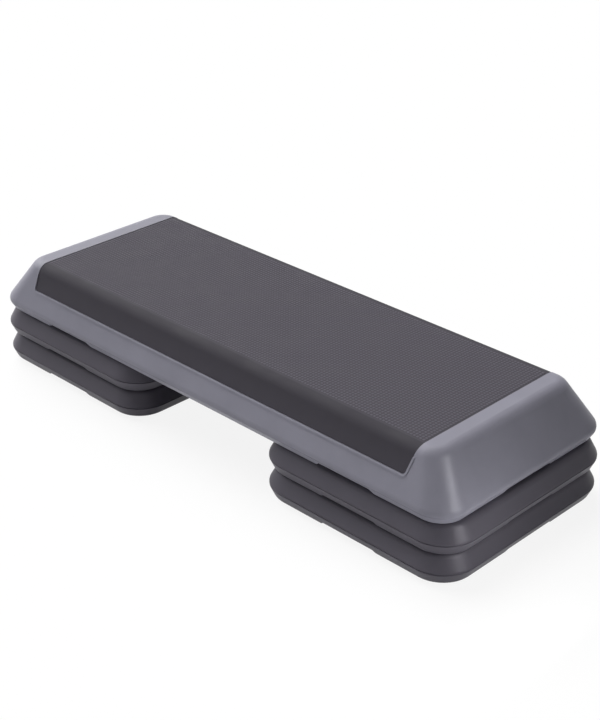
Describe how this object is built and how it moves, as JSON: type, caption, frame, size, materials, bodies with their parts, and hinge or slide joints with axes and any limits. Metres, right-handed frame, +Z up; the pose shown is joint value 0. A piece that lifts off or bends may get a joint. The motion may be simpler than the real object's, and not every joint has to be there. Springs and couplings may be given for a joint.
{
  "type": "aerobic step platform",
  "caption": "Long low exercise platform with sloped sides and a rubber top mat that wraps over its edges, standing on stacked square risers at each end.",
  "frame": {"origin": "on the floor under the middle of the platform", "axes": "+X along the platform's length, +Y across it, +Z up"},
  "size_m": [1.0882, 0.4046, 0.1999],
  "materials": {
    "platform_polyethylene": "matte",
    "riser_polyethylene": "matte",
    "mat_rubber": "matte",
    "foot_rubber": "matte"
  },
  "bodies": {
    "lower_left_riser": {"lower_left_riser": "riser_polyethylene", "lower_left_riser_foot_front_outer": "foot_rubber", "lower_left_riser_foot_front_inner": "foot_rubber", "lower_left_riser_foot_back_outer": "foot_rubber", "lower_left_riser_foot_back_inner": "foot_rubber"},
    "lower_right_riser": {"lower_right_riser": "riser_polyethylene", "lower_right_riser_foot_front_outer": "foot_rubber", "lower_right_riser_foot_front_inner": "foot_rubber", "lower_right_riser_foot_back_outer": "foot_rubber", "lower_right_riser_foot_back_inner": "foot_rubber"},
    "upper_left_riser": {"upper_left_riser": "riser_polyethylene", "upper_left_riser_foot_front_outer": "foot_rubber", "upper_left_riser_foot_front_inner": "foot_rubber", "upper_left_riser_foot_back_outer": "foot_rubber", "upper_left_riser_foot_back_inner": "foot_rubber"},
    "upper_right_riser": {"upper_right_riser": "riser_polyethylene", "upper_right_riser_foot_front_outer": "foot_rubber", "upper_right_riser_foot_front_inner": "foot_rubber", "upper_right_riser_foot_back_outer": "foot_rubber", "upper_right_riser_foot_back_inner": "foot_rubber"},
    "platform": {"platform_deck": "platform_polyethylene", "top_mat": "mat_rubber", "platform_foot_front_left": "foot_rubber", "platform_foot_front_right": "foot_rubber", "platform_foot_back_left": "foot_rubber", "platform_foot_back_right": "foot_rubber"}
  },
  "joints": [
    {"name": "upper_level_lift", "type": "slide", "parent": "lower_left_riser", "child": "upper_left_riser", "axis": [0, 0, 1], "range_m": [0, 0.12]},
    {"name": "platform_lift", "type": "slide", "parent": "upper_left_riser", "child": "platform", "axis": [0, 0, 1], "range_m": [0, 0.12]},
    {"name": "upper_right_riser_drop", "type": "slide", "parent": "platform", "child": "upper_right_riser", "axis": [0, 0, -1], "range_m": [0, 0.12]},
    {"name": "lower_right_riser_drop", "type": "slide", "parent": "upper_right_riser", "child": "lower_right_riser", "axis": [0, 0, -1], "range_m": [0, 0.12]}
  ],
  "couplings": [
    {"joint": "upper_right_riser_drop", "follows": "platform_lift", "ratio": 1},
    {"joint": "lower_right_riser_drop", "follows": "upper_level_lift", "ratio": 1}
  ]
}
